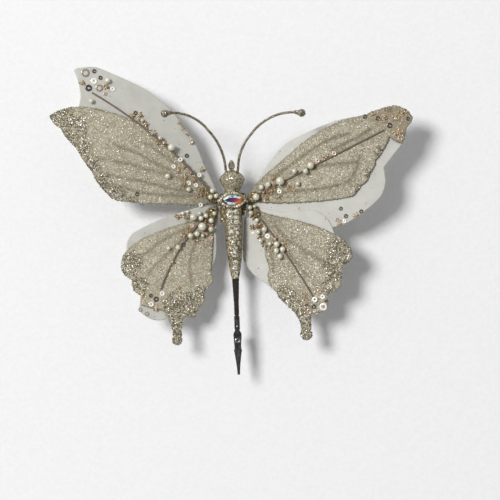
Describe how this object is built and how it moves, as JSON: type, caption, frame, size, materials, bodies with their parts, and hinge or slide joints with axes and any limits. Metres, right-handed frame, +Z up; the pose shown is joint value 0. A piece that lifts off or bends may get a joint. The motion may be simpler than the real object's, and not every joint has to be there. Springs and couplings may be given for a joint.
{
  "type": "clip-on butterfly ornament",
  "caption": "Clip-on butterfly ornament: two-layer glitter and organza wings on bendable wire roots, beaded gold body, antennae, taped wire stem and a sprung alligator clip.",
  "frame": {"origin": "on the flat underside of the back block, under the centre of the thorax crystal", "axes": "+X across the wings to the right seen from above, +Y towards the head, +Z up off the back"},
  "size_m": [0.2587, 0.2233, 0.0413],
  "materials": {
    "glitter_fabric": "champagne glitter on woven backing",
    "organza": "sheer, slightly pearly",
    "brown_paper_wire": "paper-covered wire",
    "glitter_glue": "dark gold glitter set in glue",
    "pearl": "ivory pearl lustre",
    "amber_glass": "foiled amber seed beads",
    "pale_sequin": "pearly white film",
    "dark_sequin": "gunmetal film",
    "glue_block": "hot-melt glue dusted with glitter",
    "gold_glitter": "fine gold glitter",
    "crystal": "iridescent coated crystal",
    "rhinestone": "foil-backed rhinestone",
    "steel_wire": "drawn wire",
    "brown_tape": "waxed crepe tape",
    "nickel_steel": "nickel-plated stamped steel"
  },
  "bodies": {
    "body": {"back_block": "glue_block", "body_shell": "gold_glitter", "head_finial": "gold_glitter", "left_antenna": "gold_glitter", "right_antenna": "gold_glitter", "gem_bezel": "gold_glitter", "thorax_gem": "crystal", "abdomen_rhinestones": "rhinestone", "body_core_wires": "steel_wire"},
    "stem": {"stem_wrap": "brown_tape", "stem_core_wires": "steel_wire", "clip_jaw": "nickel_steel", "clip_pivot_pin": "nickel_steel", "clip_spring": "steel_wire"},
    "clip_lever": {"clip_lever": "nickel_steel"},
    "left_forewing": {"left_forewing_glitter_panel": "glitter_fabric", "left_forewing_sheer_panel": "organza", "left_forewing_rib_wire": "brown_paper_wire", "left_forewing_root_cap": "glitter_glue", "left_forewing_pearls": "pearl", "left_forewing_seed_beads": "amber_glass", "left_forewing_pale_sequins": "pale_sequin", "left_forewing_dark_sequins": "dark_sequin"},
    "right_forewing": {"right_forewing_glitter_panel": "glitter_fabric", "right_forewing_sheer_panel": "organza", "right_forewing_rib_wire": "brown_paper_wire", "right_forewing_root_cap": "glitter_glue", "right_forewing_pearls": "pearl", "right_forewing_seed_beads": "amber_glass", "right_forewing_pale_sequins": "pale_sequin", "right_forewing_dark_sequins": "dark_sequin"},
    "left_hindwing": {"left_hindwing_glitter_panel": "glitter_fabric", "left_hindwing_sheer_panel": "organza", "left_hindwing_rib_wire": "brown_paper_wire", "left_hindwing_root_cap": "glitter_glue", "left_hindwing_pearls": "pearl", "left_hindwing_seed_beads": "amber_glass", "left_hindwing_pale_sequins": "pale_sequin", "left_hindwing_dark_sequins": "dark_sequin"},
    "right_hindwing": {"right_hindwing_glitter_panel": "glitter_fabric", "right_hindwing_sheer_panel": "organza", "right_hindwing_rib_wire": "brown_paper_wire", "right_hindwing_root_cap": "glitter_glue", "right_hindwing_pearls": "pearl", "right_hindwing_seed_beads": "amber_glass", "right_hindwing_pale_sequins": "pale_sequin", "right_hindwing_dark_sequins": "dark_sequin"}
  },
  "joints": [
    {"name": "left_forewing_fold", "type": "hinge", "parent": "body", "child": "left_forewing", "pos_m": [-0.008, 0, 0.0034], "axis": [0, 1, 0], "range_deg": [-25, 25]},
    {"name": "right_forewing_fold", "type": "hinge", "parent": "body", "child": "right_forewing", "pos_m": [0.008, 0, 0.0034], "axis": [0, -1, 0], "range_deg": [-25, 25]},
    {"name": "left_hindwing_fold", "type": "hinge", "parent": "body", "child": "left_hindwing", "pos_m": [-0.008, 0, 0.0034], "axis": [0, 1, 0], "range_deg": [-25, 25]},
    {"name": "right_hindwing_fold", "type": "hinge", "parent": "body", "child": "right_hindwing", "pos_m": [0.008, 0, 0.0034], "axis": [0, -1, 0], "range_deg": [-25, 25]},
    {"name": "stem_bend", "type": "hinge", "parent": "body", "child": "stem", "pos_m": [0, -0.0579, 0.0065], "axis": [-1, 0, 0], "range_deg": [-60, 60]},
    {"name": "clip_open", "type": "hinge", "parent": "stem", "child": "clip_lever", "pos_m": [0, -0.108, 0.0054], "axis": [1, 0, 0], "range_deg": [0, 16], "stiffness_Nm_per_rad": 0.04, "springref_deg": -45.84, "deforming": ["clip_spring"]}
  ],
  "couplings": [
    {"joint": "left_hindwing_fold", "follows": "left_forewing_fold", "ratio": 1},
    {"joint": "right_hindwing_fold", "follows": "right_forewing_fold", "ratio": 1}
  ]
}
